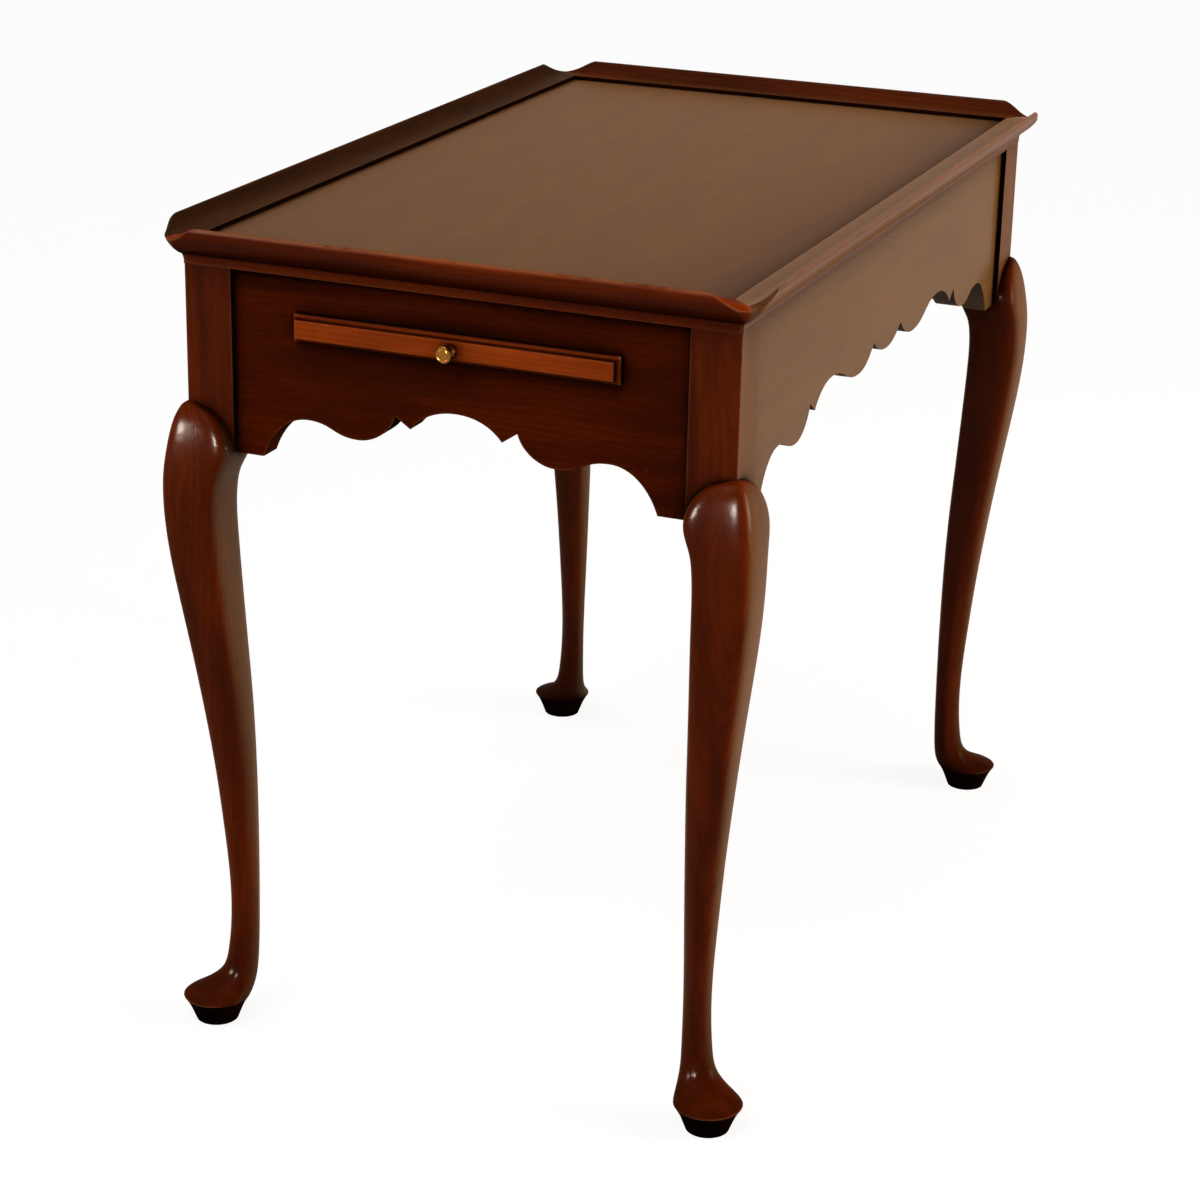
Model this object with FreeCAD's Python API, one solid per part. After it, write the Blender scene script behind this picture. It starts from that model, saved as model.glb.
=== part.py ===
import FreeCAD, Part
import math
import os

# Tray top tea table: four cabriole legs, scalloped aprons, a moulded tray with scooped
# corners and a pull-out slide at each short end.
# Origin on the floor under the middle of the table, X along the table, Z up.
# Front is the long side at -Y, left is the short side at -X.

# Driving dimensions, millimetres

# Frame
frame_length = 749.0
frame_width = 454.0
frame_height = 650.0
post_size = 39.5
post_chamfer = 10.0
apron_depth = 147.5
apron_thickness = 21.0
apron_setback = 4.5
tenon_length = 19.0
tenon_thickness = 8.0
tenon_shoulder = 14.0

# Clearances, and how far a cut runs past the face it opens
glue_gap = 0.1
screw_gap = 0.1
slide_gap = 0.4
closing_gap = 0.3
overrun = 5.0

# Cabriole leg, measured from the post's own axis
arch_rise = 37.5
arch_root = 1.2
arch_ease = 0.3
knee_drop = 32.5
knee_reach = 39.2
knee_back = 10.5
ankle_height = 95.0
ankle_radius = 11.8
ankle_inset = 5.8
foot_height = 21.5
foot_radius = 27.7
foot_offset = 12.8
pad_height = 3.3
pad_top_radius = 18.8
pad_radius = 17.5

# Stations down the leg, as shares of the sizes above
circle_share = 4 / 3 * (math.sqrt(2) - 1)
ridge_share = 0.95
side_share = 0.95
ankle_side_share = 0.3
# Quarter turns of the arch that tops the knee
dome_shares = (0.13, 0.3, 0.5, 0.72, 1.0)
# Under the knee: drop from the apron to the knee, sweep of the inner face
sweep_shares = ((0.28, 0.3), (0.58, 0.73))
# Knee to ankle: drop, outer face, inner face, squareness
calf_shares = (
    (0.0, 0.0, 0.0, 1.0),
    (0.1, 0.04, -0.04, 0.95),
    (0.225, 0.19, 0.24, 0.85),
    (0.35, 0.375, 0.55, 0.72),
    (0.5, 0.58, 0.92, 0.52),
    (0.65, 0.76, 1.1, 0.32),
    (0.8, 0.9, 1.12, 0.14),
    (1.0, 1.0, 1.0, 0.0),
)
# Ankle to the widest ring of the foot: drop, outer face, inner face
foot_shares = (
    (0.3, 0.03, 0.12),
    (0.52, 0.08, 0.25),
    (0.72, 0.2, 0.4),
    (0.87, 0.52, 0.52),
    (0.945, 0.8, 0.68),
    (0.98, 0.94, 0.84),
    (1.0, 1.0, 1.0),
)

# Underside of the foot, from its widest ring to the pad: drop, inset
under_shares = ((0.0, 0.0), (0.22, 0.3), (0.58, 0.66), (1.0, 1.0))

# Scalloped lower edge of the aprons
scallop_rise = 56.0
motif_share = 0.398667
handle_share = 0.5
# Corner motif from the post inwards: place, rise, and the lean of a point's curves,
# or None at the smooth top of an arch or foot of a lobe
motif_shares = (
    (0.157, 0.0, 0.3),
    (0.418, 0.615, None),
    (0.702, 0.434, None),
    (0.916, 0.848, 0.2),
    (1.0, 0.696, 0.35),
)
# Middle of each apron, from its half length inside the motif to its centre
end_middle_shares = ((0.0, 1.0, None),)
long_middle_shares = (
    (0.787, 1.0, None),
    (0.402, 0.705, None),
    (0.197, 1.0, 0.5),
    (0.0, 0.768, None),
)

# Tray board and rim: overhangs are measured from the face of the posts
board_inset = 10.0
board_thickness = 19.0
tongue_length = 5.0
tongue_thickness = 6.0
ledge_step = 3.5
ledge_width = 12.0
cove_radius = 19.0
cove_run = 16.0
crest_height = 13.85
crest_overhang = 19.0
rim_overhang = 20.0
rim_fullest = 10.5
ovolo_swell = 3.0
strip_height = 7.5
strip_foot = 0.5
strip_overhang = 1.5
strip_hollow = 0.5
corner_round = 30.0
notch_length = 44.0
notch_flat = 7.0
notch_floor = 4.5
notch_lead = 0.4
notch_slope_share = 0.3
notch_top_share = 0.35
notch_foot_share = 0.5

# Pull-out slides
slide_drop = 39.5
slide_thickness = 12.0
slide_depth = 270.0
housing_depth = 3.5
front_lap = 9.0
front_height = 21.5
lip_thickness = 3.2
lip_width = 0.8
front_cove_width = 1.8
front_cove_rise = 3.0
front_fillet = 0.7
front_depth = 9.8
front_edge = 0.6
peg_radius = 4.0
peg_stand = 10.0
peg_inset = 35.0
peg_margin = 30.0
knob_radius = 6.5
knob_projection = 13.5
knob_disc = 3.6
knob_edge = 0.8
knob_ring_radius = 4.4
knob_ring_width = 0.7
knob_ring_depth = 0.35
knob_neck_radius = 2.9
knob_flare = 2.4
knob_base_radius = 4.6
knob_base = 1.2
knob_socket = 8.0
stud_radius = 2.0
stud_reach = 18.0

# Rails that carry the slides, corner blocks and wood screws
rail_bite = 8.0
rail_web = 14.0
rail_sole = 12.0
rail_screw_spacing = 250.0
block_leg = 50.1
block_clearance = 12.0
block_height = 45.0
block_screw_drop = 22.0
screw_radius = 2.0
screw_head_radius = 4.0
screw_head_height = 2.6
screw_point = 5.0
bore_radius = 4.6
side_seat_share = 0.72
apron_bite = 16.0
top_screw_seat = 21.0
board_bite = 14.0

# Worked out from the above
half_length = frame_length / 2
half_width = frame_width / 2
post_half = post_size / 2
apron_bottom = frame_height - apron_depth
arch_top = apron_bottom + arch_rise
knee_height = apron_bottom - knee_drop
apron_back = apron_setback + apron_thickness
motif_width = (frame_width - 2 * post_size) * motif_share
board_top = frame_height + board_thickness
ledge_top = board_top + ledge_step
rim_top = board_top + crest_height
strip_top = frame_height + strip_height
fullest = board_top + rim_fullest
slide_height = frame_height - slide_drop
rail_outer = half_width - apron_back - block_leg - block_clearance
slot_half_width = rail_outer - rail_web
slide_width = 2 * (slot_half_width - slide_gap)
front_width = slide_width + 2 * front_lap
peg_place = slide_width / 2 - peg_inset
slot_half_height = slide_thickness / 2 + slide_gap
rail_inner = slide_width / 2 - rail_bite
end_inside = half_length - apron_back
block_inside = post_half - apron_back
block_tip = block_inside - block_leg
block_screw_place = (block_tip - post_half) / 2
side_screw_seat = (block_screw_place - block_tip) * side_seat_share
apron_screw_length = side_screw_seat + apron_bite
top_screw_length = top_screw_seat + board_bite

Vec = FreeCAD.Vector
UP = Vec(0, 0, 1)
OUT = Vec(0, -1, 0)
ORIGIN = Vec(0, 0, 0)


# Small tools

def line(start, end):
    return Part.LineSegment(start, end).toShape()


def arc(start, middle, end):
    return Part.Arc(start, middle, end).toShape()


def bezier(*poles):
    curve = Part.BezierCurve()
    curve.setPoles(list(poles))
    return curve.toShape()


def chain(points):
    return [line(start, end) for start, end in zip(points, points[1:])]


def solid_from(edges, along):
    return Part.Face(Part.Wire(edges)).extrude(along)


def block(low, high):
    size = high - low
    return Part.makeBox(size.x, size.y, size.z, low)


def turned(edges):
    """A round solid from a half profile in the XZ plane."""
    return Part.Face(Part.Wire(edges)).revolve(ORIGIN, UP, 360)


def spun(shape, degrees):
    copy = shape.copy()
    copy.rotate(ORIGIN, UP, degrees)
    return copy


def moved(shape, by):
    copy = shape.copy()
    copy.translate(by)
    return copy


def aimed(shape, point, direction):
    """Stand a shape that was made along +Z at a point, along another direction."""
    copy = shape.copy()
    copy.Placement = FreeCAD.Placement(point, FreeCAD.Rotation(UP, direction)).multiply(copy.Placement)
    return copy


def blend(start, end, share):
    return start + (end - start) * share


# Cabriole leg, made with its outer corner towards +X +Y

def leg_ring(z, inner, outer, ridge, side):
    """One level of the leg: a square with soft corners, the two on the diagonal and the two beside it."""
    middle = (inner + outer) / 2
    half = (outer - inner) / 2
    ring = []
    for quarter, share in enumerate((ridge, side, ridge, side)):
        turn = FreeCAD.Rotation(UP, 90 * quarter)
        poles = (Vec(half, 0, 0), Vec(half, half * share, 0), Vec(half * share, half, 0), Vec(0, half, 0))
        ring.append(bezier(*(turn.multVec(pole) + Vec(middle, middle, z) for pole in poles)))
    return Part.Wire(ring)


def knee_face(z):
    """Outer face of the knee above its fullest level, a quarter ellipse out of the post."""
    share = (z - knee_height) / (arch_top - knee_height)
    return post_half + (knee_reach - post_half) * math.sqrt(1 - share ** 2)


def knee_rings():
    """Levels from a root hidden in the post, down the arched top of the knee."""
    levels = [(arch_top + arch_root, post_half - 3 * arch_root, post_half - arch_root)]
    reach = post_size - arch_ease
    for share in dome_shares:
        turn = share * math.pi / 2
        z = apron_bottom + arch_rise * math.cos(turn)
        levels.append((z, post_half - reach * math.sin(turn), knee_face(z)))
    for drop, sweep in sweep_shares:
        z = blend(apron_bottom, knee_height, drop)
        levels.append((z, blend(-post_half, -knee_back, sweep), knee_face(z)))
    return [leg_ring(z, inner, outer, ridge_share, side_share) for z, inner, outer in levels]


def calf_rings():
    rings = []
    ankle_outer = ankle_radius - ankle_inset
    ankle_inner = -ankle_radius - ankle_inset
    for drop, outer, inner, square in calf_shares:
        rings.append(leg_ring(
            blend(knee_height, ankle_height, drop),
            blend(-knee_back, ankle_inner, inner),
            blend(knee_reach, ankle_outer, outer),
            blend(circle_share, ridge_share, square),
            blend(ankle_side_share, side_share, square)))
    for drop, outer, inner in foot_shares:
        rings.append(leg_ring(
            blend(ankle_height, foot_height, drop),
            blend(ankle_inner, foot_offset - foot_radius, inner),
            blend(ankle_outer, foot_offset + foot_radius, outer),
            circle_share,
            blend(ankle_side_share, circle_share, drop)))
    return rings


def foot_ring(z, radius):
    return leg_ring(z, foot_offset - radius, foot_offset + radius, circle_share, circle_share)


def foot_sole():
    """Tapered underside below the crisp widest ring, and the thin pad that meets the floor."""
    rings = []
    for drop, inset in under_shares:
        z = blend(foot_height, pad_height, drop)
        rings.append(foot_ring(z, blend(foot_radius, pad_top_radius, inset)))
    pad = Part.makeLoft([rings[-1], foot_ring(0, pad_radius)], True, True)
    return Part.makeLoft(rings, True, False).fuse(pad)


def mortise():
    """Room for the tenon of the apron that runs off along -X."""
    centre = post_half - apron_setback - apron_thickness / 2
    half = tenon_thickness / 2 + glue_gap
    return block(
        Vec(-post_half - overrun, centre - half, apron_bottom + tenon_shoulder - glue_gap),
        Vec(-post_half + tenon_length + glue_gap, centre + half, frame_height - tenon_shoulder + glue_gap))


def cabriole_leg():
    corners = (
        Vec(post_half, post_half, apron_bottom),
        Vec(-post_half, post_half, apron_bottom),
        Vec(-post_half, post_chamfer - post_half, apron_bottom),
        Vec(post_chamfer - post_half, -post_half, apron_bottom),
        Vec(post_half, -post_half, apron_bottom),
        Vec(post_half, post_half, apron_bottom),
    )
    post = solid_from(chain(corners), Vec(0, 0, frame_height - apron_bottom))
    shank = Part.makeLoft(knee_rings() + calf_rings(), True, False)
    leg = post.fuse([shank, foot_sole()])
    across = mortise().mirror(ORIGIN, Vec(1, -1, 0))
    return leg.cut(mortise()).cut(across).removeSplitter()


# Scalloped aprons, made along X with the outer face at y = 0 and the back towards +Y

def scallop_knots(half_span, middle_shares):
    """Points of the lower edge from the right-hand post to the middle of the apron."""
    inside = half_span - motif_width
    knots = [(half_span, apron_bottom, 0)]
    for place, rise, lean in motif_shares:
        knots.append((half_span - motif_width * place, apron_bottom + scallop_rise * rise, lean))
    for place, rise, lean in middle_shares:
        knots.append((inside * place, apron_bottom + scallop_rise * rise, lean))
    return knots


def scallop_edge(start, end):
    """Straight between points, an ogee between smooth knots, otherwise a leaning quarter."""
    a = Vec(start[0], 0, start[1])
    b = Vec(end[0], 0, end[1])
    if start[2] is not None and end[2] is not None:
        return line(a, b)
    if start[2] is None and end[2] is None:
        reach = Vec((b.x - a.x) * handle_share, 0, 0)
        return bezier(a, a + reach, b - reach, b)
    smooth, point, lean = (a, b, end[2]) if start[2] is None else (b, a, start[2])
    corner = Vec(point.x, 0, smooth.z)
    target = blend(corner, smooth, lean)
    poles = [smooth, blend(smooth, corner, handle_share), blend(point, target, handle_share), point]
    return bezier(*(poles if start[2] is None else reversed(poles)))


def apron(half_span, middle_shares):
    right = scallop_knots(half_span, middle_shares)
    left = [(-x, z, lean) for x, z, lean in reversed(right[:-1])]
    knots = right + left
    edges = [scallop_edge(start, end) for start, end in zip(knots, knots[1:])]
    top_left = Vec(-half_span, 0, frame_height)
    top_right = Vec(half_span, 0, frame_height)
    edges += chain((Vec(-half_span, 0, apron_bottom), top_left, top_right, Vec(half_span, 0, apron_bottom)))
    panel = solid_from(edges, Vec(0, apron_thickness, 0))
    tongue_back = (apron_thickness - tenon_thickness) / 2
    tenons = block(
        Vec(-half_span - tenon_length, tongue_back, apron_bottom + tenon_shoulder),
        Vec(half_span + tenon_length, tongue_back + tenon_thickness, frame_height - tenon_shoulder))
    between = block(
        Vec(-half_span, 0, apron_bottom),
        Vec(half_span, apron_thickness, frame_height))
    return panel.fuse(tenons.cut(between)).removeSplitter()


def slide_slot():
    return block(
        Vec(-slot_half_width, -overrun, slide_height - slot_half_height),
        Vec(slot_half_width, apron_thickness + overrun, slide_height + slot_half_height))


# Tray

def tray_board():
    across = half_length - board_inset
    deep = half_width - board_inset
    middle = frame_height + board_thickness / 2
    board = block(Vec(-across, -deep, frame_height), Vec(across, deep, board_top))
    tongue = block(
        Vec(-across - tongue_length, -deep - tongue_length, middle - tongue_thickness / 2),
        Vec(across + tongue_length, deep + tongue_length, middle + tongue_thickness / 2))
    return board.fuse(tongue).removeSplitter()


def rim_profile():
    """Section of the rim: plain strip, big ovolo, narrow crest, cove, ledge and board groove."""
    def at(overhang, z):
        return Vec(0, -overhang, z)

    # ovolo: an arc from the strip that swells out and down from the straight line
    chord = at(rim_overhang, fullest) - at(strip_overhang, strip_top)
    belly = at(strip_overhang, strip_top) + chord / 2 + chord.cross(Vec(1, 0, 0)).normalize() * -ovolo_swell
    # cove: an arc that leaves the ledge level and climbs to the crest
    cove_foot = ledge_width - board_inset
    cove_turn = math.asin(cove_run / cove_radius)
    cove_top = at(cove_foot + cove_run, ledge_top + cove_radius * (1 - math.cos(cove_turn)))
    hollow = at(
        cove_foot + cove_radius * math.sin(cove_turn / 2),
        ledge_top + cove_radius * (1 - math.cos(cove_turn / 2)))
    crest = at(crest_overhang, rim_top)
    shoulder = (at(rim_overhang, fullest) + crest) / 2 + at((rim_overhang - crest_overhang) / 4, 0)
    brow = (crest + cove_top) / 2 + Vec(0, 0, (rim_top - cove_top.z) / 6)
    strip_middle = at((strip_foot + strip_overhang) / 2 - strip_hollow, (frame_height + strip_top) / 2)
    # groove for the tongue of the board
    groove = tongue_thickness / 2 + glue_gap
    middle = frame_height + board_thickness / 2
    bottom = glue_gap - board_inset + tongue_length
    edges = [
        line(at(-board_inset, frame_height), at(strip_foot, frame_height)),
        arc(at(strip_foot, frame_height), strip_middle, at(strip_overhang, strip_top)),
        arc(at(strip_overhang, strip_top), belly, at(rim_overhang, fullest)),
        arc(at(rim_overhang, fullest), shoulder, crest),
        arc(crest, brow, cove_top),
        arc(cove_top, hollow, at(cove_foot, ledge_top)),
    ]
    edges += chain((
        at(cove_foot, ledge_top),
        at(-board_inset, ledge_top),
        at(-board_inset, middle + groove),
        at(bottom, middle + groove),
        at(bottom, middle - groove),
        at(-board_inset, middle - groove),
        at(-board_inset, frame_height)))
    return edges


def rim_notch(tip):
    """Scoop over one end of a rim: an S curve down to the low corner, sloped outwards."""
    inner = Vec(0, board_inset + overrun, 0)
    across = OUT * (board_inset + rim_overhang + 2 * overrun)
    fall = Vec(0, 0, -notch_slope_share * across.Length)
    lift = Vec(0, 0, notch_slope_share * inner.Length)
    start = Vec(tip - notch_length, 0, rim_top + notch_lead + notch_slope_share * crest_overhang)
    end = Vec(tip - notch_flat, 0, board_top + notch_floor)
    reach = Vec(end.x - start.x, 0, 0)
    out = Vec(tip + overrun, 0, end.z)
    above = Vec(0, 0, crest_height)
    edges = [bezier(start, start + reach * notch_top_share, end - reach * notch_foot_share, end)]
    edges += chain((end, out, Vec(out.x, 0, start.z) + above, start + above, start))
    return moved(solid_from(edges, across + fall), inner + lift)


def rim_corner(tip):
    """What the rounded corner of the tray takes off one end of a rim: square at the strip,
    swelling to a full round at the crest."""
    centre = Vec(tip - corner_round, corner_round - rim_overhang, 0)
    waste = block(
        Vec(centre.x, -rim_overhang - overrun, strip_top),
        Vec(tip + overrun, centre.y, rim_top + overrun))
    foot = (corner_round - rim_overhang + strip_overhang) * math.sqrt(2)
    rise = fullest - strip_top
    radius = (rise ** 2 + (corner_round - foot) ** 2) / (2 * (corner_round - foot))
    half_turn = math.asin(rise / radius) / 2
    belly = Vec(
        corner_round - radius * (1 - math.cos(half_turn)), 0, fullest - radius * math.sin(half_turn))
    edges = [line(Vec(0, 0, strip_top), Vec(foot, 0, strip_top))]
    edges += [arc(Vec(foot, 0, strip_top), belly, Vec(corner_round, 0, fullest))]
    edges += chain((
        Vec(corner_round, 0, fullest),
        Vec(corner_round, 0, rim_top + overrun),
        Vec(0, 0, rim_top + overrun),
        Vec(0, 0, strip_top)))
    return waste.cut(moved(turned(edges), centre))


def tray_rim(half_span):
    """One mitred side of the rim, made along X with the post faces at y = 0."""
    tip = half_span + rim_overhang
    run = Part.Face(Part.Wire(rim_profile())).extrude(Vec(2 * tip, 0, 0))
    run.translate(Vec(-tip, 0, 0))
    inner = board_inset + overrun
    outer = rim_overhang + overrun
    corners = (
        Vec(-half_span + inner, inner, frame_height - overrun),
        Vec(half_span - inner, inner, frame_height - overrun),
        Vec(half_span + outer, -outer, frame_height - overrun),
        Vec(-half_span - outer, -outer, frame_height - overrun),
        Vec(-half_span + inner, inner, frame_height - overrun),
    )
    mitres = solid_from(chain(corners), Vec(0, 0, rim_top - frame_height + 2 * overrun))
    rim = run.common(mitres)
    for cutter in (rim_notch(tip), rim_corner(tip)):
        rim = rim.cut(cutter)
        rim = rim.cut(cutter.mirror(ORIGIN, Vec(1, 0, 0)))
    return rim


# Pull-out slide, made with the apron's outer face at y = 0 and the table towards +Y

def slide_board():
    board = block(
        Vec(-slide_width / 2, -closing_gap - housing_depth, slide_height - slide_thickness / 2),
        Vec(slide_width / 2, slide_depth, slide_height + slide_thickness / 2))
    for x in (-peg_place, peg_place):
        board = board.cut(stop_peg(x, glue_gap))
    return board.cut(knob_stud(screw_gap))


def stop_peg(x, gap):
    """Dowel through the slide's back edge; it meets the apron when the slide is out."""
    foot = Vec(x, slide_depth - peg_margin, slide_height - slide_thickness / 2)
    return Part.makeCylinder(peg_radius + gap, slide_thickness + peg_stand, foot)


def front_section(extent):
    """Half section of the slide's front, across it: lip, cove, fillet and raised field."""
    half = extent / 2
    cove_foot = half - lip_width
    cove_top = cove_foot - front_cove_width
    field = cove_top - front_fillet
    waist = lip_thickness + front_cove_rise
    bend = math.sqrt(2) / 2
    points = [
        (half, 0),
        (half, lip_thickness),
        (cove_foot, lip_thickness),
        (cove_top, waist),
        (field, waist),
        (field, front_depth - front_edge),
        (field - front_edge, front_depth),
    ]
    hollow = (cove_top + front_cove_width * (1 - bend), lip_thickness + front_cove_rise * (1 - bend))
    return points, hollow


def front_run(extent, length, along):
    """The front's section over one extent, run straight along the other."""
    points, hollow = front_section(extent)
    across = UP.cross(OUT) if along.z else UP
    right = [across * place + OUT * depth for place, depth in points]
    left = [across * -place + OUT * depth for place, depth in reversed(points)]
    bends = [across * place + OUT * hollow[1] for place in (hollow[0], -hollow[0])]
    edges = chain(right[:3]) + [arc(right[2], bends[0], right[3])] + chain(right[3:] + left[:4])
    edges += [arc(left[3], bends[1], left[4])] + chain(left[4:] + right[:1])
    return moved(solid_from(edges, along * length), along * (-length / 2))


def slide_front():
    """Lipped front with its moulding mitred round all four sides of the flat field."""
    upright = front_run(front_width, front_height, UP)
    level = front_run(front_height, front_width, OUT.cross(UP))
    front = moved(upright.common(level), Vec(0, -closing_gap, slide_height))
    housing = block(
        Vec(-slide_width / 2 - glue_gap, -closing_gap - housing_depth - glue_gap,
            slide_height - slide_thickness / 2 - glue_gap),
        Vec(slide_width / 2 + glue_gap, 0, slide_height + slide_thickness / 2 + glue_gap))
    return front.cut(housing).cut(knob_stud(screw_gap)).removeSplitter()


def slide_knob():
    """Turned brass knob: small base, waisted neck and a flat disc with a fine ring."""
    back = knob_projection - knob_disc
    edges = chain((
        ORIGIN,
        Vec(knob_base_radius, 0, 0),
        Vec(knob_base_radius, 0, knob_base),
        Vec(knob_neck_radius, 0, knob_base + knob_flare),
        Vec(knob_neck_radius, 0, back - knob_flare),
        Vec(knob_radius - knob_edge, 0, back),
        Vec(knob_radius, 0, back + knob_edge),
        Vec(knob_radius, 0, knob_projection - knob_edge),
        Vec(knob_radius - knob_edge, 0, knob_projection),
        Vec(knob_ring_radius + knob_ring_width, 0, knob_projection),
        Vec(knob_ring_radius, 0, knob_projection - knob_ring_depth),
        Vec(knob_ring_radius - knob_ring_width, 0, knob_projection),
        Vec(0, 0, knob_projection),
        ORIGIN))
    knob = aimed(turned(edges), Vec(0, -closing_gap - front_depth, slide_height), OUT)
    return knob.cut(knob_stud(screw_gap))


def knob_stud(gap=0):
    """Threaded stud that holds the knob, through the front and into the slide's end."""
    length = knob_socket + front_depth - housing_depth + stud_reach
    stud = Part.makeCylinder(stud_radius + gap, length + 2 * gap, Vec(0, 0, -gap))
    return aimed(stud, Vec(0, stud_reach - closing_gap - housing_depth, slide_height), OUT)


# Inside: rails, corner blocks and screws

def slide_rail():
    """Grooved rail under the board at the front of the table, with its screw holes."""
    rail = block(
        Vec(-end_inside, -rail_outer, slide_height - slot_half_height - rail_sole),
        Vec(end_inside, -rail_inner, frame_height))
    groove = block(
        Vec(-end_inside - overrun, -slot_half_width, slide_height - slot_half_height),
        Vec(end_inside + overrun, -rail_inner + overrun, slide_height + slot_half_height))
    return rail.cut(groove)


def rail_screw_places():
    y = -(slot_half_width + rail_outer) / 2
    seat = frame_height - top_screw_seat
    return [Vec(x, y, seat) for x in (-rail_screw_spacing, 0, rail_screw_spacing)]


def corner_block():
    """Block glued between two aprons behind a post, clear of the post's chamfer."""
    near = post_chamfer - post_half
    corners = (
        Vec(-post_half, block_inside, 0),
        Vec(block_tip, block_inside, 0),
        Vec(block_inside, block_tip, 0),
        Vec(block_inside, -post_half, 0),
        Vec(near, -post_half, 0),
        Vec(-post_half, near, 0),
        Vec(-post_half, block_inside, 0),
    )
    base = [corner + UP * (frame_height - block_height) for corner in corners]
    return solid_from(chain(base), Vec(0, 0, block_height))


def block_top_place():
    """Middle of the block's thickest part, under the head of its upright screw."""
    chamfer = post_chamfer / 2 - post_half
    face = block_inside - block_leg / 2
    middle = (chamfer + face) / 2
    return Vec(middle, middle, frame_height - top_screw_seat)


def block_side_places():
    """Seats and directions of the two screws from a block into its aprons."""
    along = block_screw_place
    seat = block_inside - side_screw_seat
    z = frame_height - block_screw_drop
    return [(Vec(along, seat, z), Vec(0, 1, 0)), (Vec(seat, along, z), Vec(1, 0, 0))]


def wood_screw(length):
    """Pan head under the seat at z = 0, shank and point above it."""
    tip = length - screw_point
    points = (
        Vec(0, 0, -screw_head_height),
        Vec(screw_head_radius, 0, -screw_head_height),
        Vec(screw_head_radius, 0, 0),
        Vec(screw_radius, 0, 0),
        Vec(screw_radius, 0, tip),
        Vec(0, 0, length),
        Vec(0, 0, -screw_head_height),
    )
    return turned(chain(points))


def screw_hole(length):
    """Hole for a wood screw's shank, with a wide bore for its head below the seat."""
    shank = Part.makeCylinder(screw_radius + screw_gap, length + screw_gap)
    return shank.fuse(Part.makeCylinder(bore_radius, frame_height - apron_bottom, ORIGIN, UP * -1))


# Places round the table

def front_and_back(shape):
    return {"front": shape, "back": spun(shape, 180)}


def at_ends(shape):
    """Turn a shape made for an end apron to the left and right ends of the table."""
    face = half_length - apron_setback
    return {
        "left": moved(spun(shape, -90), Vec(-face, 0, 0)),
        "right": moved(spun(shape, 90), Vec(face, 0, 0)),
    }


def at_corners(shape):
    """Turn a shape made about a post's axis, facing +X +Y, into all four corners."""
    reach = Vec(half_length - post_half, half_width - post_half, 0)
    return {
        "back_right": moved(shape, reach),
        "back_left": moved(spun(shape, 90), Vec(-reach.x, reach.y, 0)),
        "front_left": moved(spun(shape, 180), Vec(-reach.x, -reach.y, 0)),
        "front_right": moved(spun(shape, -90), Vec(reach.x, -reach.y, 0)),
    }


def screws():
    """Upright screws into the board, side screws into the aprons, and their holes."""
    upright = wood_screw(top_screw_length)
    sideways = wood_screw(apron_screw_length)
    top_hole = screw_hole(top_screw_length)
    side_hole = screw_hole(apron_screw_length)
    top, top_holes, side, side_holes = [], [], [], []
    for place in rail_screw_places():
        top += front_and_back(moved(upright, place)).values()
        top_holes += front_and_back(moved(top_hole, place)).values()
    top += at_corners(moved(upright, block_top_place())).values()
    top_holes += at_corners(moved(top_hole, block_top_place())).values()
    for place, direction in block_side_places():
        side += at_corners(aimed(sideways, place, direction)).values()
        side_holes += at_corners(aimed(side_hole, place, direction)).values()
    return top, top_holes, side, side_holes


def table():
    """Every piece of the table by name, in its place."""
    top_screws, top_holes, side_screws, side_holes = screws()
    pieces = {"tray_board": tray_board().cut(top_holes)}
    long_rim = moved(tray_rim(half_length), Vec(0, -half_width, 0))
    for side, rim in front_and_back(long_rim).items():
        pieces["tray_rim_" + side] = rim
    end_rim = moved(tray_rim(half_width), Vec(0, -apron_setback, 0))
    for side, rim in at_ends(end_rim).items():
        pieces["tray_rim_" + side] = rim
    for corner, shape in at_corners(cabriole_leg()).items():
        pieces["leg_" + corner] = shape
    long_apron = apron(half_length - post_size, long_middle_shares)
    long_apron = moved(long_apron, Vec(0, apron_setback - half_width, 0))
    for side, shape in front_and_back(long_apron).items():
        pieces["long_apron_" + side] = shape.cut(side_holes)
    end_apron = apron(half_width - post_size, end_middle_shares).cut(slide_slot())
    for side, shape in at_ends(end_apron).items():
        pieces["end_apron_" + side] = shape.cut(side_holes)
    for side, shape in front_and_back(slide_rail()).items():
        pieces["slide_rail_" + side] = shape.cut(top_holes)
    for corner, shape in at_corners(corner_block()).items():
        pieces["corner_block_" + corner] = shape.cut(top_holes + side_holes)
    stops = Part.makeCompound([stop_peg(x, 0) for x in (-peg_place, peg_place)])
    slide = {
        "slide_board_": slide_board(),
        "slide_front_": slide_front(),
        "slide_knob_": slide_knob(),
        "knob_stud_": knob_stud(),
        "slide_stops_": stops,
    }
    for name, shape in slide.items():
        for side, placed in at_ends(shape).items():
            pieces[name + side] = placed
    pieces["top_screws"] = Part.makeCompound(top_screws)
    pieces["block_screws"] = Part.makeCompound(side_screws)
    return pieces


os.makedirs("parts", exist_ok=True)
for name, shape in table().items():
    shape.exportStep("parts/" + name + ".step")
    print(name, len(shape.Solids), "solids,", round(shape.Volume), "mm3, valid:", shape.isValid())
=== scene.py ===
# %% [markdown]
# # A tray top tea table
#
# The table is a small occasional table: four cabriole legs, scalloped aprons tenoned into the leg
# posts, a tray with a scooped moulded rim, and a candle slide at each end. The solids carry every
# shape, so this script dresses them: it finds the camera, makes the finishes, and lights the table.
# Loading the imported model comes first, because each finish is placed by the model's own frame.

# %% Load the table
import math
import random

import bpy
from mathutils import Matrix, Vector


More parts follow.
